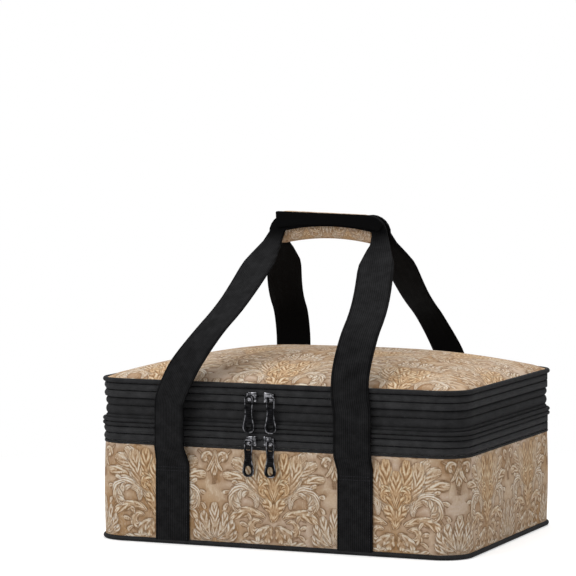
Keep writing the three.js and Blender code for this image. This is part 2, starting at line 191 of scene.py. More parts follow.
lit_point = Vector((0, 0, 0.12))
lamps = (("key", (-1.5, -2.2, 1.9), 2.0, 39), ("fill", (1.6, -2.2, 1.0), 1.6, 2),
         ("overhead", (0.2, 0.3, 2.4), 3.2, 54))
for name, place, size, power in lamps:
    bpy.ops.object.light_add(type="AREA", location=place)
    lamp = bpy.context.object
    lamp.name = name
    lamp.data.shape = "DISK"
    lamp.data.size = size
    lamp.data.energy = power
    lamp.rotation_euler = (lit_point - Vector(place)).to_track_quat("-Z", "Y").to_euler()


# Bottom: a black cloth panel sewn into a corded piping, which runs round the foot of the wall.
# Cord and panel are the same plain-woven polyester.
bag_width, bag_depth, corner_radius = 400, 300, 30


def named(name):
    """Names the object that was just added."""
    piece = bpy.context.object
    piece.name = piece.data.name = name
    return piece


def settle():
    """Puts the picked object's place, turn and size into its mesh."""
    bpy.ops.object.transform_apply(location=True, rotation=True, scale=True)


def pick(piece):
    bpy.ops.object.select_all(action="DESELECT")
    piece.select_set(True)
    bpy.context.view_layer.objects.active = piece


def edit(piece):
    pick(piece)
    bpy.ops.object.mode_set(mode="EDIT")
    bpy.ops.mesh.select_all(action="SELECT")


def face_out():
    bpy.ops.mesh.select_all(action="SELECT")
    bpy.ops.mesh.normals_make_consistent(inside=False)


def done(piece, angle=40):
    bpy.ops.object.mode_set(mode="OBJECT")
    bpy.ops.object.shade_smooth_by_angle(angle=math.radians(angle))
    return piece


def finish_with(piece, kind, **settings):
    pick(piece)
    added = piece.modifiers.new(kind.lower(), kind)
    for name, value in settings.items():
        setattr(added, name, value)
    bpy.ops.object.modifier_apply(modifier=added.name)


def outline_of_bag(name, height, inset, cuts=23):
    """A flat sheet with the bag's outline, drawn in by an inset, in mm. It is left open in edit mode."""
    bpy.ops.mesh.primitive_plane_add(size=1, location=(0, 0, height * mm))
    ring = named(name)
    ring.scale = ((bag_width - 2 * inset) * mm, (bag_depth - 2 * inset) * mm, 1)
    settle()
    edit(ring)
    bpy.ops.mesh.bevel(offset=(corner_radius - inset) * mm, segments=12, affect="VERTICES")
    bpy.context.tool_settings.mesh_select_mode = (False, True, False)
    bpy.ops.mesh.select_all(action="DESELECT")
    bpy.ops.object.mode_set(mode="OBJECT")
    points = ring.data.vertices
    for edge in ring.data.edges:
        start, end = edge.vertices
        edge.select = (points[start].co - points[end].co).length > 100 * mm
    bpy.ops.object.mode_set(mode="EDIT")
    bpy.ops.mesh.subdivide(number_cuts=cuts)
    bpy.ops.mesh.select_all(action="SELECT")
    return ring


def ring_of_bag(name, height, inset, cuts=23):
    ring = outline_of_bag(name, height, inset, cuts)
    bpy.ops.mesh.delete(type="ONLY_FACE")
    bpy.ops.mesh.select_all(action="SELECT")
    return ring


def raise_ring(profile):
    """Extrudes the selected edges through (height, inset) pairs, in mm."""
    nudge = 1
    for (height, inset), (next_height, next_inset) in zip(profile, profile[1:]):
        bpy.ops.mesh.extrude_edges_move(TRANSFORM_OT_translate={"value": (0, 0, nudge * mm)})
        bpy.ops.transform.shrink_fatten(value=(next_inset - inset) * mm, use_even_offset=True)
        bpy.ops.transform.translate(value=(0, 0, (next_height - height - nudge) * mm))


def sew_round(name, profile, cuts=23):
    """A closed strip round the bag, folded at each (height, inset) in mm, inset from the wall's face."""
    ring = ring_of_bag(name, *profile[0], cuts)
    raise_ring([*profile, profile[0]])
    bpy.ops.mesh.select_all(action="SELECT")
    bpy.ops.mesh.remove_doubles(threshold=0.001 * mm)
    face_out()
    done(ring)
    lay_round(ring)
    return ring


def lay_round(piece):
    """Lays the cloth's own map on a strip, in metres: round the bag from the middle of the front, and up."""
    straight_x = (bag_width / 2 - corner_radius) * mm
    straight_y = (bag_depth / 2 - corner_radius) * mm
    radius = corner_radius * mm
    quarter = radius * math.pi / 2

    def along(x, y):
        if y < -straight_y:
            if x < straight_x:
                return x
            return straight_x + radius * math.atan2(x - straight_x, -straight_y - y)
        if y < straight_y:
            return straight_x + quarter + y + straight_y
        to_back = straight_x + quarter + 2 * straight_y
        if x > straight_x:
            return to_back + radius * math.atan2(y - straight_y, x - straight_x)
        return to_back + quarter + straight_x - x

    cut = piece.data.uv_layers.new(name="cut")
    for face in piece.data.polygons:
        side = -1 if face.center.x < 0 else 1
        for corner in face.loop_indices:
            place = piece.data.vertices[piece.data.loops[corner].vertex_index].co
            cut.data[corner].uv = (side * along(abs(place.x), place.y), place.z)


def cord_profile(height, inset, radius, sides=14):
    turns = [2 * math.pi * (side + 0.5) / sides for side in range(sides)]
    return [(height + radius * math.sin(turn), inset + radius * math.cos(turn)) for turn in turns]


def lit(shade, share):
    return (*[part * share for part in shade[:3]], 1)


def plain_weave(name, shade, pitch, roughness, relief=0.35):
    """Black or grey cloth: threads over and under each other, with a little dust in the colour."""
    material, shader, blank = new_finish(name, {"Specular IOR Level": 0.01})
    flat = blank.node("UVMap", {"uv_map": "cut"}, {})
    axes = flat.node("SeparateXYZ", {}, {0: flat})
    warp = (axes * (2 * math.pi / (pitch * mm))).wave()
    weft = (axes.outlet(1) * (2 * math.pi / (pitch * mm))).wave()
    dust = flat.node("TexNoise", {}, {"Vector": flat, "Scale": 90, "Detail": 5, "Roughness": 0.7})
    fuzz = flat.node("TexNoise", {}, {"Vector": flat, "Scale": 1400, "Detail": 2})
    tint = (dust * 0.7 + warp * weft * 0.2 + fuzz * 0.3).step(0.2, 0.9)
    tint.dye(lit(shade, 0.55), lit(shade, 1.7)).feed(shader, "Base Color")
    (roughness + (dust - 0.5) * 0.25).feed(shader, "Roughness")
    height = warp * weft * 0.5 + fuzz * 0.5 + dust * 1.2
    bump = flat.node("Bump", {}, {"Strength": relief, "Distance": 0.25 * mm, "Height": height})
    bump.feed(shader, "Normal")
    return material


def dress(piece, material, body, slot, *nodes):
    piece.data.materials.append(material)
    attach(piece, body)
    if nodes:
        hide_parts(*nodes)


black_cloth = plain_weave("black_cloth", colour("#2d2d2e"), 0.9, 0.62)

bottom_piping = sew_round("bottom_piping", cord_profile(2.5, 0, 2.5))
dress(bottom_piping, black_cloth, "base", "black_cloth", "bottom_piping")

bottom_panel = outline_of_bag("bottom_panel", 1.5, 3.2)
groove_width, groove_depth = 1.2, 0.3
bpy.ops.mesh.inset(thickness=9 * mm, depth=0)
bpy.ops.mesh.inset(thickness=groove_width * mm, depth=-groove_depth * mm)
bpy.ops.mesh.inset(thickness=groove_width * mm, depth=groove_depth * mm)
bpy.ops.mesh.select_all(action="SELECT")
done(bottom_panel)
finish_with(bottom_panel, "SOLIDIFY", thickness=1.1 * mm, offset=-1)


def lay_flat(piece):
    cut = piece.data.uv_layers.get("cut") or piece.data.uv_layers.new(name="cut")
    for corner in piece.data.loops:
        place = piece.data.vertices[corner.vertex_index].co
        cut.data[corner.index].uv = (place.x, place.y)


lay_flat(bottom_panel)
dress(bottom_panel, black_cloth, "base", "black_cloth", "bottom_panel")


# Lower wall: printed polyester canvas over thin foam, in one run round the bag with its join at the back.
# The print is a damask of curled leaves, plumes and fans, brushed in cream and gold on mottled tan.
# Each leaf is one brush stroke along an arc, with a lit side, lengthwise veins and a broken brown edge.
def brush_stroke_group():
    """One stroke laid over the strokes before it. Angles are in radians and lengths in mm."""
    tree = bpy.data.node_groups.new("brush_stroke", "ShaderNodeTree")
    layers = ("tone", "gold", "ink", "cover", "shade")
    facts = ("q", "y", "brush", "centre_x", "centre_y", "radius", "start", "hand", "sweep", "close",
             "width", "lobes", "notch", "blunt", "dye")
    for fact in facts + layers:
        tree.interface.new_socket(name=fact, in_out="INPUT", socket_type="NodeSocketFloat")
    for layer in layers:
        tree.interface.new_socket(name=layer, in_out="OUTPUT", socket_type="NodeSocketFloat")
    given = tree.nodes.new("NodeGroupInput")
    result = tree.nodes.new("NodeGroupOutput")
    take = {fact: Thread(tree, given.outputs[fact]) for fact in facts + layers}
    right, up = take["q"] - take["centre_x"], take["y"] - take["centre_y"]
    reach = (right * right + up * up) ** 0.5 + 0.01
    gone = (up.turn_from(right) - take["start"]) * take["hand"]
    share = gone % (2 * math.pi) / take["sweep"]
    off = reach - take["radius"] * (1 - share * take["close"])
    shape = share ** 0.75 * (1 - share).top(0) ** take["blunt"] * take["width"] * 1.75
    aside = (abs(off) / shape.top(0.4)).low(1.5)
    sweep_on = share - aside * 0.42
    lobe = abs((sweep_on * take["lobes"] * math.pi).wave())
    half = shape * (1 + take["notch"] * (lobe - 0.62))
    ends = share.step(0, 0.06) * (1 - share.step(0.965, 1.0))
    across = (off / half.top(0.4)).top(-1.5).low(1.5)
    vein = (abs(across) * 6 + sweep_on * (3 + take["lobes"] * 8) + take["brush"] * 7).wave()
    rib = take["notch"] * (1 - aside.step(0.02, 0.2))
    tone = 0.54 + take["notch"] * (lobe - 0.6) * 1.7 + across * (up / reach) * 0.24 + vein * 0.2 - rib * 0.6
    inside = half - abs(off) + (ends - 1) * 7
    cover = inside.step(-0.4, 0.8)
    edge = inside.step(-1.5, -0.1) * (1 - inside.step(0.0, 1.1))
    cover.between(take["tone"], tone).feed(result, "tone")
    cover.between(take["gold"], take["dye"]).feed(result, "gold")
    edge.top((1 - cover) * take["ink"]).feed(result, "ink")
    cover.top(take["cover"]).feed(result, "cover")
    inside.step(-6.5, 0.5).top(take["shade"]).feed(result, "shade")
    return tree


brush_stroke = brush_stroke_group()


def damask(name):
    """The print: rows of mirrored figures, each row half a repeat aside, drawn in mm from a middle."""
    material, shader, blank = new_finish(name, {"Specular IOR Level": 0.2})
    flat = blank.node("UVMap", {"uv_map": "cut"}, {})
    hand = flat.node("TexNoise", {}, {"Vector": flat, "Scale": 60, "Detail": 4}, "Color")
    drawn = flat.node("VectorMath", {"operation": "MULTIPLY_ADD"}, {0: hand, 1: [5.6 * mm] * 3, 2: flat})
    axes = flat.node("SeparateXYZ", {}, {0: drawn})
    streaks = flat.node("Mapping", {}, {0: flat, 3: (1.0, 0.5, 1.0)})
    brush = flat.node("TexNoise", {}, {"Vector": streaks, "Scale": 240, "Detail": 5, "Distortion": 1.8})
    blotch = flat.node("TexNoise", {}, {"Vector": flat, "Scale": 30, "Detail": 6, "Roughness": 0.64})
    speck = flat.node("TexNoise", {}, {"Vector": flat, "Scale": 460, "Detail": 4, "Roughness": 0.7})
    repeat, drop, first_row, first_column = 131, 94, 55.4, 2.8
    v = axes.outlet(1) * 1000 - first_row
    row = round(v / drop)
    y = v - row * drop
    x = axes * 1000 - first_column - row % 2 * (repeat / 2)
    m = abs(x - round(x / repeat) * repeat)
    n = repeat / 2 - m
    paint = {"tone": 0.0, "gold": 0.0, "ink": 0.0, "cover": 0.0, "shade": 0.0}

    def curl(q, centre, radius, start, sweep, width, dye, close=0.0, lobes=0, blunt=0.45):
        """A stroke round a centre: start and sweep in degrees, and it closes in by a share of its radius."""
        facts = {"q": q, "y": y, "brush": brush, "centre_x": centre[0], "centre_y": centre[1],
                 "radius": radius, "start": math.radians(start), "hand": math.copysign(1, sweep),
                 "sweep": abs(math.radians(sweep)), "close": close, "width": width * (1.4 if lobes else 1),
                 "lobes": lobes, "notch": 0.32 if lobes else 0.0, "blunt": blunt, "dye": dye}
        stroke_node = flat.node("Group", {"node_tree": brush_stroke}, {**facts, **paint})
        for layer in paint:
            paint[layer] = stroke_node.outlet(layer)

    def stroke(q, root, tip, bow, width, dye, lobes=0, blunt=0.45):
        """A stroke from root to tip that bows to its left by so many mm."""
        run, rise = tip[0] - root[0], tip[1] - root[1]
        length = math.hypot(run, rise)
        radius = (length ** 2 / 4 + bow ** 2) / (2 * abs(bow))
        towards = math.copysign(radius - abs(bow), bow)
        centre = ((root[0] + tip[0]) / 2 + rise / length * towards,
                  (root[1] + tip[1]) / 2 - run / length * towards)
        start = math.degrees(math.atan2(root[1] - centre[1], root[0] - centre[0]))
        sweep = 2 * math.degrees(math.asin(min(1, length / 2 / radius)))
        curl(q, centre, radius, start, -math.copysign(sweep, bow), width, dye, 0.0, lobes, blunt)

    def feathers(q, centre, radius, size, turns, lean, dye):
        """Short blunt leaves set round a rim, each leaning by so many degrees from straight out."""
        for place in turns:
            turn, point = math.radians(place), math.radians(place + lean)
            rim = (centre[0] + radius * math.cos(turn), centre[1] + radius * math.sin(turn))
            tip = (rim[0] + size * math.cos(point), rim[1] + size * math.sin(point))
            stroke(q, rim, tip, 0.18 * size, 0.3 * size, dye, 0, 0.3)

    stroke(n, (5, -30), (31, 34), -9, 1.5, 0.4)
    stroke(n, (1, 10), (20, 46), 6, 1.3, 0.4)
    stroke(m, (6, -40), (36, -46), -6, 4.8, 0.25, 3)
    stroke(m, (8, -22), (47, -25), 9, 4.6, 0.4, 3)
    curl(m, (19, -31), 8.5, 150, -300, 4.0, 0.35, 0.55, 3)
    feathers(m, (19, -31), 9, 9, (40, -5, -50), 25, 0.2)
    stroke(m, (9, -14), (58, 20), 13, 5.2, 0.3, 4)
    stroke(m, (8, -8), (48, 36), 9, 7.0, 0.15, 5)
    stroke(m, (7, -6), (36, 45), 6, 7.4, 0.05, 5)
    feathers(m, (33, -5), 16, 9, (150, 110, 70, 30, -10), -40, 0.1)
    curl(m, (33, -5), 15.5, 215, -285, 6.0, 0.05, 0.42, 6)
    feathers(m, (33, -5), 12.5, 10, (125, 85, 45, 5), 205, 0.0)
    stroke(m, (5, -4), (24, 45), -6, 7.4, 0.4, 5)
    stroke(m, (2, 2), (11, 46), -3, 6.4, 0.8, 4)
    stroke(m, (4, -22), (17, 18), 8, 6.0, 0.9, 3)
    curl(m, (9, 8), 6.5, 250, 280, 3.6, 0.85, 0.5, 3)
    stroke(m, (0, -4), (0, 36), 0.05, 6.0, 0.8, 4)
    stroke(m, (1, -26), (12, -2), 4, 5.0, 0.7, 3)
    stroke(m, (1, -28), (7, -46), 2, 4.4, 0.45, 2)
    stroke(m, (2, -29), (18, -45), 4, 4.2, 0.15, 2)
    for tip, bow, width in (((23, -35), -6, 3.6), ((20, -24), -5, 4.0), ((12, -15), -3, 4.2)):
        stroke(n, (1, -46), tip, bow, width, 0.0, 3)
    stroke(n, (0, -46), (0, -6), 0.05, 4.6, 0.05, 4)
    curl(n, (8, 38), 5.5, 200, -290, 3.0, 0.15, 0.5, 2)
    stroke(n, (0, 47), (0, 20), 0.05, 3.4, 0.3, 3)
    stroke(n, (1, 44), (9, 24), -2.5, 2.8, 0.2)

    def shades(*codes):
        return [(place, colour(code)) for place, code in codes]

    cloud = flat.node("TexNoise", {}, {"Vector": flat, "Scale": 13, "Detail": 5, "Distortion": 0.6})
    ground = blotch.step(0.36, 0.64).dye(colour("#9c7c5a"), colour("#c6b199"))
    ground = (cloud.step(0.5, 0.66) * 0.75).dye(ground, colour("#a07843"))
    ground = ((1 - cloud.step(0.38, 0.52)) * 0.85).dye(ground, colour("#cab8a8"))
    ground = (speck.step(0.3, 0.75) * 0.6).dye(ground, colour("#b2967b"))
    ground = brush.step(0.5, 0.78).dye(ground, colour("#cbb8a0"))
    ground = (paint["shade"] * (0.75 - blotch * 0.5)).dye(ground, colour("#87623d"))
    tone = paint["tone"] + (brush - 0.5) * 0.85 + (speck - 0.5) * 0.4
    stops = shades((0.1, "#8a6d4e"), (0.4, "#b0957a"), (0.66, "#c9b9a3"), (0.95, "#dcd5ca"))
    cream = tone.node("ValToRGB", {"stops": stops}, {0: tone})
    stops = shades((0.1, "#7c5732"), (0.42, "#a9835a"), (0.7, "#c4a37a"), (0.98, "#dac9a8"))
    gold = tone.node("ValToRGB", {"stops": stops}, {0: tone})
    leaves = paint["gold"].dye(cream, gold)
    worn = paint["cover"] * blotch.step(0.14, 0.46) * (0.74 + brush * 0.4).low(1)
    printed = worn.dye(ground, leaves)
    lines = paint["ink"] * speck.step(0.22, 0.6) * (0.35 + blotch * 0.7)
    printed = lines.dye(printed, colour("#664a30"))
    printed.feed(shader, "Base Color")
    thread_pitch = 2 * math.pi / (0.7 * mm)
    threads = flat.node("SeparateXYZ", {}, {0: flat})
    weave = (threads * thread_pitch).wave() * (threads.outlet(1) * thread_pitch).wave()
    bump = {"Strength": 0.25, "Distance": 0.2 * mm, "Height": weave * 0.5 + speck * 0.8}
    flat.node("Bump", {}, bump).feed(shader, "Normal")
    (0.78 + (speck - 0.5) * 0.2).feed(shader, "Roughness")
    return material


print_cloth = damask("print_cloth")
wall_low, wall_top, wall_thickness = 5, 100.4, 1.2
strap_x, strap_offset, strap_reach = 100, 12, 40
wall_swell, wall_pucker, strap_side = 1.1, 0.5, 140
rows_up = [wall_low + 4 * step for step in range(24)]
wall_profile = [(rise, 0) for rise in rows_up] + [(wall_top, 0), (wall_top, wall_thickness)]
wall_profile += [(rise, wall_thickness) for rise in reversed(rows_up)]
lower_wall = sew_round("lower_wall", wall_profile, cuts=47)
corner_x, corner_y = (bag_width / 2 - corner_radius) * mm, (bag_depth / 2 - corner_radius) * mm
for point in lower_wall.data.vertices:
    height = (point.co.z / mm - wall_low) / (wall_top - wall_low)
    pucker = math.sin(point.co.x * 190) * math.sin(point.co.y * 170 + 1) * (2 * height - 1) ** 6
    held = 0
    if abs(point.co.y) > strap_side * mm:
        from_strap = abs(abs(point.co.x / mm + strap_offset) - strap_x)
        held = min(1, 1.6 * max(0, 1 - (from_strap / strap_reach) ** 2))
    swell = (wall_swell * math.sin(math.pi * height) + wall_pucker * pucker) * (1 - held) * mm
    inner_x = max(-corner_x, min(corner_x, point.co.x))
    inner_y = max(-corner_y, min(corner_y, point.co.y))
    outward = point.co - Vector((inner_x, inner_y, point.co.z))
    point.co += outward.normalized() * swell
dress(lower_wall, print_cloth, "base", "print_cloth", "lower_wall")


# Inside of the lower compartment: a foam pad and a stiff board on the bottom panel, foam behind the wall,
# and a tub of crinkled foil film over them, turned in at the top edge.
def sew_tub(name, profile):
    """A strip like sew_round's, but open, with a flat sheet across each end: a slab, or a tub."""
    tub = ring_of_bag(name, *profile[0])
    raise_ring(profile)
    bpy.ops.mesh.select_all(action="SELECT")
    bpy.ops.mesh.fill_holes(sides=0)
    face_out()
    return done(tub)


def lay_slab(name, low, high, inset, soft, material, body, slot):
    """A flat layer with softened edges, cut to the bag's outline. Sizes in mm."""
    edge = [(low, inset + soft), (low + 0.3 * soft, inset + 0.3 * soft), (low + soft, inset),
            (high - soft, inset), (high - 0.3 * soft, inset + 0.3 * soft), (high, inset + soft)]
    dress(sew_tub(name, edge), material, body, slot, name)


def inner_material(name, dark, light, metal, roughness, scale, relief):
    """Foil, foam or board: a fine grain in the colour and the height, and larger creases in the foil."""
    material, shader, blank = new_finish(name, {"Metallic": metal})
    place = blank.node("TexCoord", {}, {}, "Object")
    grain = place.node("TexNoise", {}, {"Vector": place, "Scale": scale, "Detail": 5, "Roughness": 0.65})
    to_edge = {"feature": "DISTANCE_TO_EDGE"}
    cells = place.node("TexVoronoi", to_edge, {"Vector": place, "Scale": scale * 0.8})
    grain.step(0.3, 0.7).dye(dark, light).feed(shader, "Base Color")
    (roughness + (grain - 0.5) * 0.3).feed(shader, "Roughness")
    height = grain * 0.8 + cells.low(0.12) * 4
    bump = {"Strength": relief, "Distance": 0.6 * mm, "Height": height}
    place.node("Bump", {}, bump).feed(shader, "Normal")
    return material


foil = inner_material("foil_film", colour("#a9abad"), colour("#cfd1d2"), 0.85, 0.3, 60, 0.55)
foam = inner_material("foam", colour("#cfccc3"), colour("#e6e3da"), 0.0, 0.92, 900, 0.4)
board = inner_material("pressed_board", colour("#4a443d"), colour("#6b6257"), 0.0, 0.75, 260, 0.3)

lay_slab("floor_foam", 1.5, 6.5, 6.8, 1.2, foam, "base", "foam")
lay_slab("base_board", 6.8, 9.6, 6.8, 0.3, board, "base", "board")
wall_foam_profile = [(5.3, 2.3), (5.6, 1.7), (6.2, 1.5), (108.4, 1.5), (109.0, 1.8), (109.3, 2.6),
                     (109.3, 5.6), (109.0, 6.2), (108.4, 6.5), (6.2, 6.5), (5.6, 6.3), (5.3, 5.7)]
dress(sew_round("lower_foam", wall_foam_profile), foam, "base", "foam", "lower_foam")
liner_profile = [(10.7, 8.6), (11.0, 7.9), (12.2, 7.6), (108.9, 7.6), (109.3, 7.4), (109.3, 7.0),
                 (108.9, 6.8), (10.4, 6.8), (10.0, 7.1), (9.9, 7.8)]
dress(sew_tub("lower_liner", liner_profile), foil, "base", "foil_liner", "lower_liner")


# Binding and zips: a folded binding over the printed wall's top, and two zips, each of two woven tapes that
# are sewn to the cloth below and above it. A zip runs round the front and both ends, and two plain strips of
# cloth close its ring behind.
def cut_at(piece, depth, keep):
    """Keeps what is in front of a depth in mm, or behind it, and closes the cut ends."""
    edit(piece)
    front = keep == "front"
    bpy.ops.mesh.bisect(plane_co=(0, depth * mm, 0), plane_no=(0, 1, 0), use_fill=True,
                        clear_outer=front, clear_inner=not front)
    face_out()
    done(piece)
    piece.data.uv_layers.remove(piece.data.uv_layers["cut"])
    lay_round(piece)
    return piece


def zip_tape_profile(seam, up, inset):
    """From the sewn edge to the edge with the teeth, upwards or downwards: one soft roll, then a thin lip."""
    heights = [0, 0.3, 0.8, 1.5, 2.4, 3.3, 4.2, 5.0, 5.6, 6.2, 6.7, 7.0]
    insets = [1.4, 0.5, 0.0, -0.4, -0.75, -0.9, -0.75, -0.35, 0.1, 0.2, 0.5, 1.4]
    outside = [(seam + up * height, inset + depth) for height, depth in zip(heights, insets)]
    return outside + [(seam + up * heights[-1], inset + 1.6), (seam, inset + 2.0)]


binding_profile = [(100.5, 1.0), (100.4, 0.0), (100.6, -0.6), (101.2, -0.85), (102.3, -0.85), (102.9, -0.5),
                   (103.0, 0.2), (103.0, 1.1)]
lower_binding = sew_round("lower_binding", binding_profile)
dress(lower_binding, black_cloth, "base", "black_cloth", "lower_binding")

zip_tape = plain_weave("zip_tape", colour("#343435"), 0.8, 0.55, 0.5)
zip_end, lower_zip_z, upper_zip_z = 117.7, 110.7, 155.2
seam_away, strip_away = 7.4, 0.2
zip_sides = (("lower_zip_base", "base", lower_zip_z, -1, -0.6, "deck_hinge_strip"),
             ("lower_zip_deck", "deck", lower_zip_z, 1, -0.6, "deck_rear_band"),
             ("upper_zip_ring", "upper_ring", upper_zip_z, -1, 0.0, "lid_hinge_strip"),
             ("upper_zip_lid", "lid", upper_zip_z, 1, 0.0, "lid_rear_band"))
for name, body, zip_z, side, inset, strip_name in zip_sides:
    seam, edge = zip_z + side * seam_away, zip_z + side * strip_away
    tape = cut_at(sew_round(f"{name}_tape", zip_tape_profile(seam, -side, inset)), zip_end, "front")
    dress(tape, zip_tape, body, "zip_tape", f"{name}_tape")
    strip_profile = [(seam, inset + 0.5), (seam - side * 0.5, inset), (edge + side * 0.5, inset),
                     (edge, inset + 0.5), (edge, inset + 1.7), (seam, inset + 2)]
    strip = cut_at(sew_round(strip_name, strip_profile), zip_end + 0.3, "back")
    dress(strip, black_cloth, body, "black_cloth", strip_name)


# Deck: the raised edge of the upper compartment's floor, with two corded beads of black cloth round it and
# layers of foil, board and foam between them. Above the beads lies the printed gusset, folded flat.
for name, height in (("deck_bead_lower", 120.45), ("deck_bead_upper", 124.85)):
    bead = sew_round(name, cord_profile(height, -0.6, 2.05))
    dress(bead, black_cloth, "deck", "black_cloth", name)


def dress_across(piece, material, bodies, depth, low, high, slot, *nodes):
    """Dresses cloth that crosses a joint with its material and puts its place into its mesh; bodies, low and
    high are not used.
    """
    piece.data.materials.append(material)
    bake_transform(piece)
    if nodes:
        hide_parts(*nodes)


fold_low, fold_height, gusset_height = 127.0, 2.6, 48.6
fold = [(fold_low + 0.2 * step, 2.0 + 1.6 * math.sin(math.pi * step / 13)) for step in range(14)]
gusset_profile = fold + [(height, inset + 0.9) for height, inset in reversed(fold)]
gusset = sew_round("expansion_gusset", gusset_profile)
for corner in gusset.data.uv_layers["cut"].data:
    rise = (corner.uv[1] / mm - fold_low) / fold_height
    corner.uv[1] = (fold_low + gusset_height * rise) * mm
dress_across(gusset, print_cloth, ("deck", "upper_ring"), 0, 127.1, 129.5, "print_cloth", "expansion_gusset")

divider_inset = 1.75
lay_slab("divider_lower_liner", 118.4, 119.2, divider_inset, 0.2, foil, "deck", "foil_liner")
lay_slab("divider_board", 119.5, 122.3, divider_inset, 0.3, board, "deck", "board")
lay_slab("divider_foam", 122.6, 125.6, divider_inset, 0.9, foam, "deck", "foam")
lay_slab("divider_upper_liner", 125.9, 126.7, divider_inset, 0.2, foil, "deck", "foil_liner")


# Upper ring: two black bands that draw in a little between the beads and the lid's zip, backed with foam and
# foil. Each is a soft roll of cloth, and the lower one has a flap that hangs in front of the folded gusset.
bands = (("ring_band_lower", 129.7, 139.53), ("ring_band_upper", 139.57, 147.7))
for name, low, high in bands:
    shares = (0.03, 0.08, 0.16, 0.27, 0.4, 0.5, 0.6, 0.73, 0.84, 0.92, 0.97)
    roll = [(low + (high - low) * share, 3.4 - 2.7 * math.sin(math.pi * share) ** 0.6) for share in shares]
    band_profile = [(low, 3.5), *roll, (high, 3.5), (high, 3.8), (low, 3.8)]
    if name == "ring_band_lower":
        flap = [(126.4, 1.65), (126.1, 1.35), (126.4, 1.05), (127.4, 0.9), (128.6, 0.9)]
        band_profile[:1] = [(low, 1.9), *flap]
    band = sew_round(name, band_profile)
    dress(band, black_cloth, "upper_ring", "black_cloth", name)

ring_foam_profile = [(129.7, 4.7), (130.4, 4.0), (153.1, 4.0), (153.8, 4.7), (153.8, 7.3), (153.1, 8.1),
                     (130.4, 8.1), (129.7, 7.3)]
dress(sew_round("ring_foam", ring_foam_profile), foam, "upper_ring", "foam", "ring_foam")
ring_liner_profile = [(129.7, 8.6), (130.0, 8.4), (153.5, 8.4), (153.8, 8.6), (153.8, 9.0), (153.5, 9.2),
                      (130.0, 9.2), (129.7, 9.0)]
dress(sew_round("ring_liner", ring_liner_profile), foil, "upper_ring", "foil_liner", "ring_liner")


# Lid: a crowned cover of the printed canvas over a thick foam pad, with a corded piping sewn round its edge
# and a sheet of foil across its underside.
lid_piping = sew_round("lid_piping", cord_profile(165.4, 0, 2.5))
dress(lid_piping, black_cloth, "lid", "black_cloth", "lid_piping")
crown_rise = 25


def crowned(name, inset, edge, roll, cells):
    """A sheet over the lid, crowned towards its middle. It turns up by roll from its edge. Heights in mm."""
    bpy.ops.mesh.primitive_grid_add(x_subdivisions=4 * cells, y_subdivisions=3 * cells, size=2)
    sheet = named(name)
    half_x, half_y, radius = bag_width / 2 - inset, bag_depth / 2 - inset, corner_radius - inset
    for point in sheet.data.vertices:
        share = max(abs(point.co.x), abs(point.co.y))
        x, y = point.co.x / max(share, 0.001) * half_x, point.co.y / max(share, 0.001) * half_y
        over = Vector((max(0, abs(x) - (half_x - radius)), max(0, abs(y) - (half_y - radius))))
        if over.x > 0 and over.y > 0:
            over = over.normalized() * radius
            x = math.copysign(half_x - radius + over.x, x)
            y = math.copysign(half_y - radius + over.y, y)
        x, y = x * share, y * share
        dome = max(0, (1 - abs(x / half_x) ** 2.6)) * max(0, (1 - abs(y / half_y) ** 2.6))
        crown = crown_rise * (0.5 * (1 - share ** 2.4) + 0.5 * dome ** 0.7)
        point.co = Vector((x, y, edge + roll * min(1, (1 - share) * 20) + crown)) * mm
    return sheet


lid_cover = crowned("lid_cover", 1.8, 166.2, 1.4, 20)
lay_flat(lid_cover)
finish_with(lid_cover, "SOLIDIFY", thickness=1.1 * mm, offset=-1)
edit(lid_cover)
done(lid_cover, 60)
dress(lid_cover, print_cloth, "lid", "print_cloth", "lid_cover")

foam_inset, foam_edge, foam_low = 2.9, 161.5, 157.7
lid_foam = crowned("lid_foam", foam_inset, foam_edge, 2.4, 12)
edit(lid_foam)
bpy.ops.mesh.region_to_loop()
raise_ring([(foam_edge, foam_inset), (foam_low, foam_inset)])
bpy.ops.mesh.select_all(action="SELECT")
bpy.ops.mesh.fill_holes(sides=0)
face_out()
dress(done(lid_foam), foam, "lid", "foam", "lid_foam")
lay_slab("lid_liner", 156.6, 157.4, 2.8, 0.2, foil, "lid", "foil_liner")


# Zip teeth and stitches: moulded teeth clamped behind each tape's lip, those of one tape between those of
# the other, and a row of lock stitches along each tape, where it is sewn to its band.
def zip_path(height, inset):
    """A curve along a zip from end to end, in mm."""
    path = ring_of_bag("zip_path", height, inset)
    bpy.ops.mesh.bisect(plane_co=(0, (zip_end - 1) * mm, 0), plane_no=(0, 1, 0), clear_outer=True)
    bpy.ops.object.mode_set(mode="OBJECT")
    bpy.ops.object.convert(target="CURVE")
    path.data.dimensions = "3D"
    path.data.twist_mode = "Z_UP"
    return path


def run_along(name, path, radius, length, upright, pitch, shift):
    """A row of small six-sided pegs along a path, standing up or lying in line. All sizes in mm."""
    bpy.ops.object.select_all(action="DESELECT")
    turn = (0, 0, 0) if upright else (0, math.pi / 2, 0)
    bpy.ops.mesh.primitive_cylinder_add(vertices=6, radius=radius * mm, depth=length * mm, rotation=turn,
                                        location=((shift + length / 2) * mm, 0, 0))
    row = named(name)
    settle()
    edit(row)
    bpy.ops.mesh.bevel(offset=0.3 * radius * mm, segments=1)
    done(row)
    finish_with(row, "ARRAY", fit_type="FIT_CURVE", curve=path, use_relative_offset=False,
                use_constant_offset=True, constant_offset_displace=(pitch * mm, 0, 0))
    finish_with(row, "CURVE", object=path, deform_axis="POS_X")
    bpy.data.objects.remove(path)
    lay_round(row)
    return row


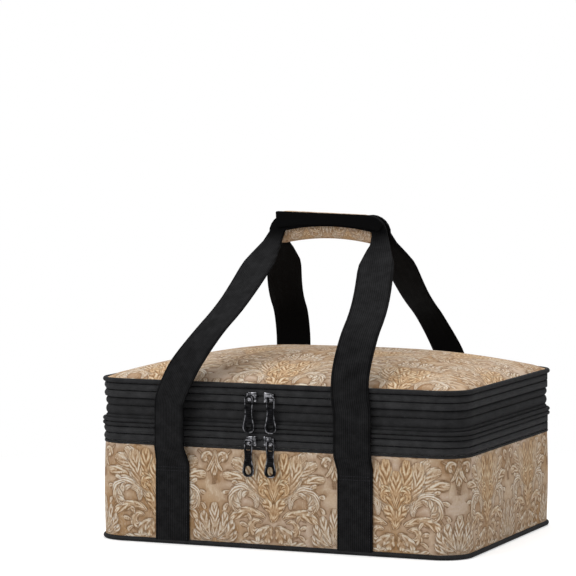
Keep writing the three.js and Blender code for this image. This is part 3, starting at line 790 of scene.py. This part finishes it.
thread = plain_weave("sewing_thread", colour("#2f2f32"), 0.4, 0.5)
teeth_away, teeth_behind, tooth_radius, tooth_height, tooth_pitch = 0.5, 2.2, 0.52, 1.5, 2.4
stitch_away, stitch_radius, stitch_length, stitch_pitch, first_stitch = 6.7, 0.24, 2.0, 2.9, 0.4
for name, body, zip_z, side, inset, _ in zip_sides:
    path = zip_path(zip_z + side * teeth_away, inset + teeth_behind)
    first_tooth = (1 + side) / 4 * tooth_pitch
    row = run_along(f"{name}_teeth", path, tooth_radius, tooth_height, True, tooth_pitch, first_tooth)
    dress(row, zip_tape, body, "zip_tape")
    path = zip_path(zip_z + side * stitch_away, inset)
    row = run_along(f"{name}_stitches", path, stitch_radius, stitch_length, False, stitch_pitch, first_stitch)
    dress(row, thread, body, "zip_tape")


# Sliders: two on each zip, cast and plated dark, with their wide ends towards each other. Each is a waisted
# body astride the teeth, with an arched bridge on its face that holds the pull.
def plated_metal(name, dark, light, roughness):
    material, shader, blank = new_finish(name, {"Metallic": 1.0})
    place = blank.node("TexCoord", {}, {}, "Object")
    # Patches of lighter metal in the colour: partly smears in the plating, partly painted glints that stand
    # in for the lamps' reflections.
    smear_and_painted_glint = place.node("TexNoise", {}, {"Vector": place, "Scale": 240, "Detail": 4, "Roughness": 0.7})
    pits = place.node("TexNoise", {}, {"Vector": place, "Scale": 2600, "Detail": 2})
    smear_and_painted_glint.step(0.42, 0.62).dye(dark, light).feed(shader, "Base Color")
    (roughness + smear_and_painted_glint * 0.16).feed(shader, "Roughness")
    place.node("Bump", {}, {"Strength": 0.12, "Distance": 0.1 * mm, "Height": pits}).feed(shader, "Normal")
    return material


gunmetal = plated_metal("gunmetal", colour("#2b2b2d"), colour("#98989c"), 0.05)
zips = (("upper", upper_zip_z, -150.3), ("lower", lower_zip_z, -150.9))
slider_places = (("left", -26, 1), ("right", -2, -1))
slider_size, bridge_radius = Vector((11, 3, 11)), 3.4
slider_shift, slider_drop, waist_share, tail_share = 2.5, 0.8, 0.14, 0.3
for level, zip_z, front_y in zips:
    for hand, x, inward in slider_places:
        centre = Vector((x + slider_shift * inward, front_y - slider_size.y / 2, zip_z - slider_drop)) * mm
        bpy.ops.mesh.primitive_cube_add(size=1, location=centre)
        slider = named(f"{level}_{hand}_slider_body")
        slider.scale = slider_size * mm
        settle()
        edit(slider)
        bpy.ops.mesh.subdivide(number_cuts=3)
        bpy.ops.object.mode_set(mode="OBJECT")
        for point in slider.data.vertices:
            along = inward * (point.co.x - centre.x) / (6 * mm)
            waist = 1 - waist_share * (1 - along * along) - (tail_share if along < -0.6 else 0)
            point.co.z = centre.z + (point.co.z - centre.z) * waist
        finish_with(slider, "BEVEL", width=0.7 * mm, segments=3, limit_method="ANGLE",
                    angle_limit=math.radians(40))
        edit(slider)
        bpy.ops.mesh.select_all(action="DESELECT")
        arch = Vector((x, front_y - 2.9, zip_z)) * mm
        arch_top = arch + Vector((0, 0, bridge_radius * mm))
        bpy.ops.mesh.primitive_plane_add(size=mm, location=arch_top)
        bpy.ops.transform.resize(value=(4.2, 1.2, 1.3), center_override=arch_top)
        bpy.ops.mesh.spin(steps=14, angle=math.pi, center=arch, axis=(1, 0, 0))
        face_out()
        done(slider, 35)
        dress(slider, gunmetal, f"{level}_{hand}_slider", "gunmetal", f"{level}_{hand}_slider")


# Pulls: a stamped and blackened tab hung on each bridge, with a window at the top, cross ribs at the waist
# for the thumb, and a drop-shaped end with an oval hole. A raised rim runs round it, in lighter metal:
# painted highlight along its edges, where the lamps also give real glints.
def draw_outlines(name, outlines):
    """A flat curve with a smooth closed outline for each list of (across, drop) points, in mm."""
    bpy.ops.object.select_all(action="DESELECT")
    bpy.ops.curve.primitive_bezier_circle_add(radius=mm)
    drawing = named(name)
    bpy.ops.object.mode_set(mode="EDIT")
    for place, outline in enumerate(outlines):
        if place:
            bpy.ops.curve.select_all(action="DESELECT")
            bpy.ops.curve.primitive_bezier_circle_add(radius=mm)
        if len(outline) > 4:
            bpy.ops.curve.subdivide(number_cuts=len(outline) // 4 - 1)
    for spline, outline in zip(drawing.data.splines, outlines):
        for point, (across, drop) in zip(spline.bezier_points, outline):
            point.co = (across * mm, drop * mm, 0)
    bpy.ops.curve.select_all(action="SELECT")
    bpy.ops.curve.handle_type_set(type="AUTOMATIC")
    bpy.ops.object.mode_set(mode="OBJECT")
    drawing.data.resolution_u = 5
    return drawing


def both_sides(half):
    return half + [(-across, drop) for across, drop in reversed(half[1:-1])]


pull_rim = both_sides([(0, 0.1), (2.2, 0.1), (3.9, -1.0), (4.0, -5), (3.9, -10.6), (3.5, -14.5), (3.5, -18),
                       (4.2, -23), (5.3, -28), (5.8, -31.6), (5.0, -34.5), (2.8, -36.3), (0, -36.6)])
pull_window = both_sides([(0, -1.6), (1.9, -1.7), (2.6, -2.3), (2.7, -5.9), (2.6, -9.6), (1.9, -10.1),
                          (0, -10.2)])
pull_hole = [(0, -26.0), (3.2, -30.8), (0, -34.8), (-3.2, -30.8)]
rib_drops, rib_length, rib_radius = (13.2, 15.2, 17.2, 19.2, 21.2), 4.4, 0.5
blackened = plated_metal("blackened", colour("#0d0d0e"), colour("#1a1a1c"), 0.3)
# The rim's lighter metal is painted highlight, standing in for reflections along the pull's edges.
rim_painted_highlight = plated_metal("rim_painted_highlight", colour("#1b1b1d"), colour("#7d7d81"), 0.12)


def hang(drawing, place, rib_places=()):
    """Makes a drawing a mesh that hangs from a place, and adds a cross rib at each of the rib places."""
    pick(drawing)
    bpy.ops.object.convert(target="MESH")
    drawing.rotation_euler = (math.pi / 2, 0, 0)
    drawing.location = place
    settle()
    edit(drawing)
    bpy.ops.mesh.remove_doubles(threshold=0.001 * mm)
    bpy.ops.mesh.select_all(action="DESELECT")
    for rib_place in rib_places:
        bpy.ops.mesh.primitive_cylinder_add(vertices=8, radius=rib_radius * mm, depth=rib_length * mm,
                                            rotation=(0, math.pi / 2, 0), location=rib_place)
    face_out()
    done(drawing, 35)


for level, zip_z, front_y in zips:
    for hand, x, inward in slider_places:
        place = Vector((x, front_y - 4.5, zip_z)) * mm
        tab = draw_outlines(f"{level}_{hand}_pull_tab", (pull_rim, pull_window, pull_hole))
        tab.data.dimensions = "2D"
        tab.data.fill_mode = "BOTH"
        tab.data.extrude = 0.4 * mm
        hang(tab, place, [place + Vector((0, -0.4, -drop)) * mm for drop in rib_drops])
        dress(tab, blackened, f"{level}_{hand}_pull", "gunmetal", f"{level}_{hand}_pull")
        rim = draw_outlines(f"{level}_{hand}_pull_rim", (pull_rim,))
        rim.data.dimensions = "3D"
        rim.data.fill_mode = "FULL"
        rim.data.bevel_depth = 0.7 * mm
        rim.data.bevel_resolution = 3
        hang(rim, place)
        dress(rim, rim_painted_highlight, f"{level}_{hand}_pull", "gunmetal")


# Hinge tapes: strips of black cloth sewn over the back of both openings, where no zip runs, each with a
# slight crease along its fold.
hinge_width, hinge_height, crease_reach, bend_reach = 338, 11, 1.6, 1.5
hinges = (("lid_hinge_tape", ("upper_ring", "lid"), upper_zip_z, 150.2),
          ("deck_hinge_tape", ("base", "deck"), lower_zip_z, 150.8))
for name, bodies, crease, back_y in hinges:
    bpy.ops.object.select_all(action="DESELECT")
    bpy.ops.mesh.primitive_grid_add(x_subdivisions=84, y_subdivisions=12, size=1,
                                    rotation=(math.pi / 2, 0, 0), location=Vector((0, back_y, crease)) * mm)
    tape = named(name)
    tape.scale = (hinge_width * mm, hinge_height * mm, 1)
    settle()
    for point in tape.data.vertices:
        fold = max(0, 1 - abs(point.co.z / mm - crease) / crease_reach)
        point.co.y += (0.25 - 0.35 * fold + 0.06 * math.sin(point.co.x / mm * 0.9)) * mm
    finish_with(tape, "SOLIDIFY", thickness=0.45 * mm, offset=0)
    edit(tape)
    face_out()
    done(tape)
    lay_round(tape)
    dress_across(tape, black_cloth, bodies, back_y, crease - bend_reach, crease + bend_reach, "black_cloth")


# Webbing: two loops of ribbed polypropylene webbing. Each leg is sewn flat on the wall, stands off from the
# bands, turns a little as it hangs free, leans in over the lid and is folded narrow to run along the grip.
def loft(name, rows, marks):
    """Skins closed sections, one after another, and closes both ends. Marks are the cloth's map in metres."""
    around, last = len(rows[0]), len(rows) - 1
    bpy.ops.mesh.primitive_grid_add(x_subdivisions=around, y_subdivisions=last, size=2)
    piece = named(name)
    cut = piece.data.uv_layers[0]
    cut.name = "cut"
    places = [(round((point.co.x + 1) / 2 * around), round((point.co.y + 1) / 2 * last))
              for point in piece.data.vertices]
    for corner in piece.data.loops:
        side, row = places[corner.vertex_index]
        cut.data[corner.index].uv = marks[row][side]
    for point, (side, row) in zip(piece.data.vertices, places):
        point.co = rows[row][side % around]
    edit(piece)
    bpy.ops.mesh.remove_doubles(threshold=0.001 * mm)
    bpy.ops.mesh.fill_holes(sides=0)
    face_out()
    return done(piece, 50)


def webbing(name, y, stations):
    """A strip through stations of (middle, across, width, thickness), in mm, with rounded edges.

    Its inner side, towards the bag's middle from the side y, is marked by a metre's shift across its map.
    """
    flank = [(-1, 0.3), (-0.985, 0.75), (-0.94, 1), (-0.7, 1), (-0.35, 1), (0, 1), (0.35, 1), (0.7, 1),
             (0.94, 1), (0.985, 0.75), (1, 0.3)]
    section = flank + [(place, -high) for place, high in reversed(flank)]
    closed = [*section, section[0]]
    middles = [station[0] for station in stations]
    rows, marks, run = [], [], 0
    for place, (middle, across, width, thickness) in enumerate(stations):
        along = (middles[min(place + 1, len(middles) - 1)] - middles[max(place - 1, 0)]).normalized()
        across = (across - along * across.dot(along)).normalized()
        out = along.cross(across)
        if place:
            run += (middle - middles[place - 1]).length
        rows.append([(middle + across * side * width / 2 + out * high * thickness / 2) * mm
                     for side, high in section])
        marks.append([(side * width / 2 * mm + (high * y < 0), run * mm) for side, high in closed])
    return loft(name, rows, marks)


def rib_weave(name, shade):
    """Webbing: lengthwise ribs crossed by fine weft threads, with painted shade on its inner side and where
    it is folded narrow.
    """
    material, shader, blank = new_finish(name, {"Specular IOR Level": 0.01})
    flat = blank.node("UVMap", {"uv_map": "cut"}, {})
    axes = flat.node("SeparateXYZ", {}, {0: flat})
    # The inner side, marked by the map's shift, is darker: painted shade for the side that faces in, away
    # from the lamps.
    inner = axes.step(0.4, 0.6)
    aside = axes - inner
    rib = abs((aside * (math.pi / (2.1 * mm))).wave())
    chevron = abs(aside.zigzag(4.2 * mm)) * 0.8 + axes.outlet(1)
    weft = (chevron * (2 * math.pi / (1.15 * mm))).wave()
    dust = flat.node("TexNoise", {}, {"Vector": flat, "Scale": 70, "Detail": 5, "Roughness": 0.7})
    selvedge = abs(aside).step(15.7 * mm, 16.3 * mm)
    # Above 300 mm, where the loops are folded narrow into the grip, the colour is darker: painted shade in
    # the folds.
    place = flat.node("TexCoord", {}, {}, "Object")
    folded = place.node("SeparateXYZ", {}, {0: place}, 2).step(300 * mm, 322 * mm)
    # The darkening at the selvedges is the weave's own; that on the inner side and in the folds is painted
    # shade.
    selvedge_and_painted_shade = selvedge * 0.16 + inner * 0.5 + folded * 0.4
    tint = (dust * 0.8 + weft * 0.12 + rib * 0.25 - selvedge_and_painted_shade).step(0.25, 0.95)
    tint.dye(lit(shade, 0.3), lit(shade, 1.6)).feed(shader, "Base Color")
    (0.62 + (dust - 0.5) * 0.3).feed(shader, "Roughness")
    height = rib * 0.6 + weft * 0.35 + dust * 0.5 - selvedge * 0.8
    bump = {"Strength": 0.5, "Distance": 0.3 * mm, "Height": height}
    flat.node("Bump", {}, bump).feed(shader, "Normal")
    return material


black_webbing = rib_weave("black_webbing", colour("#212122"))
strap_width, strap_thickness = 38, 1.8
sewn_y, free_y, grip_y = 151.25, 159.9, 5.5
sewn_top, stand_off_height = 81, 24
lean_start, over_lid, lid_radius, grip_low = 145, 176, 60, 314
twist_most, leg_sway = math.radians(15), 15
twist_start, twist_full, untwist_start, untwisted = 80, 104, 250, 306
turn_radius, turn_x, band_z, band_width, band_thickness = 12, 46, 325, 17, 4


def strap_place(x, y, height):
    """How far across a leg is at a height: sewn a little to the left, and swaying sideways above the lid."""
    share = min(1, max(0, height - lean_start) / (grip_low - lean_start))
    centred = share * share * (3 - 2 * share)
    even = x * (strap_x + (turn_x + turn_radius - strap_x) * share)
    return even + strap_offset * (centred - 1) - y * leg_sway * math.sin(math.pi * share) ** 2


def stand_off(height):
    """How far out a leg is at a height below the lid: flat on the wall, then clear of the bands."""
    share = min(1, max(0, (height - sewn_top) / stand_off_height))
    return sewn_y + (free_y - sewn_y) * share * share * (3 - 2 * share)


def strap_across(x, y, height):
    """The way across a leg at a height: along the wall, and turned from it where the leg hangs free."""
    twist = twist_most
    if height < twist_full:
        twist *= max(0, (height - twist_start) / (twist_full - twist_start))
    elif height > untwist_start:
        twist *= max(0, (untwisted - height) / (untwisted - untwist_start))
    return Vector((math.cos(twist), -x * y * math.sin(twist), 0))


def station(x, y, depth, height, width=strap_width, thickness=strap_thickness):
    """A leg's section at a height, for webbing()."""
    middle = Vector((strap_place(x, y, height), y * depth, height))
    return (middle, strap_across(x, y, height), width, thickness)


seam_radius, seam_out = 0.28, 0.95


def sew_row(name, first, step, count):
    """A straight row of stitches, in mm, from the first one's middle."""
    upright = (0, 0, 0) if step[2] else (0, math.pi / 2, 0)
    bpy.ops.mesh.primitive_cylinder_add(vertices=6, radius=seam_radius * mm, depth=stitch_length * mm,
                                        rotation=upright, location=Vector(first) * mm)
    row = named(name)
    settle()
    finish_with(row, "ARRAY", count=count, use_relative_offset=False, use_constant_offset=True,
                constant_offset_displace=Vector(step) * mm)
    lay_round(row)
    return row


reach, rise = free_y - lid_radius - grip_y, grip_low - over_lid
lean = math.atan2(reach, rise) + math.asin(lid_radius / math.hypot(reach, rise))


def rising_leg(x, y):
    """A loop's leg: upright past the lid's edge, bowed in over the lid, then narrowed towards the grip."""
    stations = [station(x, y, free_y, z) for z in (122, 126, 130, 134, 138, 142, 146, 152, 160, 168, 176)]
    for step in range(1, 11):
        angle = lean * step / 10
        depth = free_y - lid_radius * (1 - math.cos(angle))
        stations.append(station(x, y, depth, over_lid + lid_radius * math.sin(angle)))
    low, high = stations[-1][0].z, band_z - turn_radius - 5
    for share in (0.08, 0.16, 0.24, 0.32, 0.4, 0.48, 0.56, 0.64, 0.72, 0.8, 0.88, 0.94):
        pinch = max(0, (share - 0.7) / 0.3)
        width = strap_width + (band_width - strap_width) * pinch
        stations.append(station(x, y, depth + (grip_y - depth) * share, low + (high - low) * share, width,
                                strap_thickness + 2 * pinch))
    for step in range(7):
        angle = math.pi / 2 * step / 6
        outer = Vector((x * math.cos(angle), 0, math.sin(angle)))
        middle = Vector((x * turn_x, y * grip_y, band_z - turn_radius)) + outer * turn_radius
        stations.append((middle, outer * x, band_width, band_thickness))
    return stations


foot_rises = (3.2, 8, 20, 35, 50, 65, 76, 80, 82, 84, 87, 90, 93, 96, 98)
knee_rises = (98, 100, 102, 104, 106, 108, 110, 113, 116, 119, 122)
foot_bend, knee_bend, loop_bend = (sewn_top, 97), (98.5, 112), (128, 152)
upward_step, sideways_step = (0, 0, stitch_pitch), (stitch_pitch, 0, 0)
for end, y in (("front", -1), ("rear", 1)):
    risers, lower_legs = f"{end}_risers", f"{end}_lower_legs"
    for hand, x in (("left", -1), ("right", 1)):
        name = f"{end}_{hand}_strap"
        foot = webbing(f"{name}_foot", y, [station(x, y, stand_off(rise), rise) for rise in foot_rises])
        dress_across(foot, black_webbing, ("base", risers), y * sewn_y, *foot_bend, "webbing",
                     f"{name}_foot", f"{name}_riser")
        knee = webbing(f"{name}_knee", y, [station(x, y, stand_off(rise), rise) for rise in knee_rises])
        dress_across(knee, black_webbing, (risers, lower_legs), y * free_y, *knee_bend, "webbing",
                     f"{name}_lower_leg")
        middle = strap_place(x, y, 0)
        seams = (("left_seam", middle - 16, 6, upward_step, 25),
                 ("right_seam", middle + 16, 6, upward_step, 25),
                 ("top_seam", middle - 15, 79, sideways_step, 11),
                 ("low_seam", middle - 15, 75.5, sideways_step, 11))
        for seam, across, height, step, count in seams:
            row = sew_row(f"{name}_{seam}", (across, y * (sewn_y + seam_out), height), step, count)
            dress(row, thread, "base", "webbing")
    band = []
    for step in range(1, 20):
        share = -1 + 2 * step / 20
        swell = 1 - share * share
        middle = Vector((turn_x * share, y * grip_y, band_z + 1.2 * swell))
        band.append((middle, Vector((0, 0, -1)), band_width - 6.5 * swell, band_thickness))
    down = [(middle, -across, *size) for middle, across, *size in reversed(rising_leg(1, y))]
    loop = webbing(f"{end}_loop", y, rising_leg(-1, y) + band + down)
    dress_across(loop, black_webbing, (lower_legs, f"{end}_loop"), y * free_y, *loop_bend, "webbing",
                 f"{end}_left_strap_upper_leg", f"{end}_right_strap_upper_leg", f"{end}_grip_webbing")


# Grip: a padded wrap of the printed canvas sewn round the rear loop's webbing, hanging below it in an arch,
# with a smaller print than the bag's. A square-ended black facing is sewn over the front loop's webbing.
facing_half, facing_y, facing_thickness = 59, -8.8, 2.4
facing_low, facing_high, facing_arch, facing_droop = 318.5, 336.5, 5, 8


def droop(share):
    """How much of its drop the grip's top has made, near its right end."""
    return max(0, (share - 0.72) / 0.28) ** 2


facing_stations = []
for share in (-1, -0.99, -0.96, -0.85, -0.7, -0.5, -0.25, 0, 0.25, 0.5, 0.7, 0.78, 0.85, 0.92, 0.96, 0.99, 1):
    low = facing_low - 1.2 * (share + 1) + facing_arch * (1 - share * share)
    high = facing_high - 1.6 * (share + 1) - facing_droop * droop(share)
    trim = {1: 2.4, 0.99: 0.6}.get(abs(share), 0)
    middle = Vector((facing_half * share + 2, facing_y, (low + high) / 2))
    facing_stations.append((middle, Vector((0, 0, -1)), high - low - trim, facing_thickness))
facing = webbing("grip_facing", -1, facing_stations)
# The facing lies high on the grip, so rib_weave's painted fold shade darkens it nearly all over.
dress(facing, rib_weave("black_facing", colour("#1d1d1e")), "front_loop", "webbing")

print_scale, grip_half, grip_round = 2.8, 56, 86
wrap_front, wrap_back = -3.0, 10.6
wrap_low, wrap_high, wrap_arch, wrap_droop = 301, 336.8, 7, 9
rows, marks = [], []
steps, sides = 36, 28
turns = [2 * math.pi * side / sides for side in range(sides + 1)]


def squared(wave, power):
    """A wave with its sign kept, raised to a power that squares a circle."""
    return math.copysign(abs(wave) ** power, wave)


for step in range(steps + 1):
    share = -1 + 2 * step / steps
    end_round = max(0.0, 1 - abs(share) ** 14) ** 0.5
    low = wrap_low + wrap_arch * (1 - share * share)
    high = wrap_high - 1.8 * (share + 1) - wrap_droop * droop(share)
    middle = Vector((grip_half * share - 2, (wrap_front + wrap_back) / 2, (low + high) / 2))
    half_deep = (wrap_back - wrap_front) / 2 * (0.55 + 0.45 * end_round)
    half_tall = (high - low) / 2 * (0.8 + 0.2 * end_round)
    row = []
    for turn in turns[:sides]:
        deep, tall = squared(math.cos(turn), 0.7) * half_deep, squared(math.sin(turn), 0.75) * half_tall
        row.append((middle + Vector((0, deep, tall))) * mm)
    rows.append(row)
    marks.append([(grip_half * share * print_scale * mm, turn / (2 * math.pi) * grip_round * print_scale * mm)
                  for turn in turns])
grip_wrap = loft("grip_wrap", rows, marks)
dress(grip_wrap, print_cloth, "rear_loop", "print_cloth", "grip_wrap")
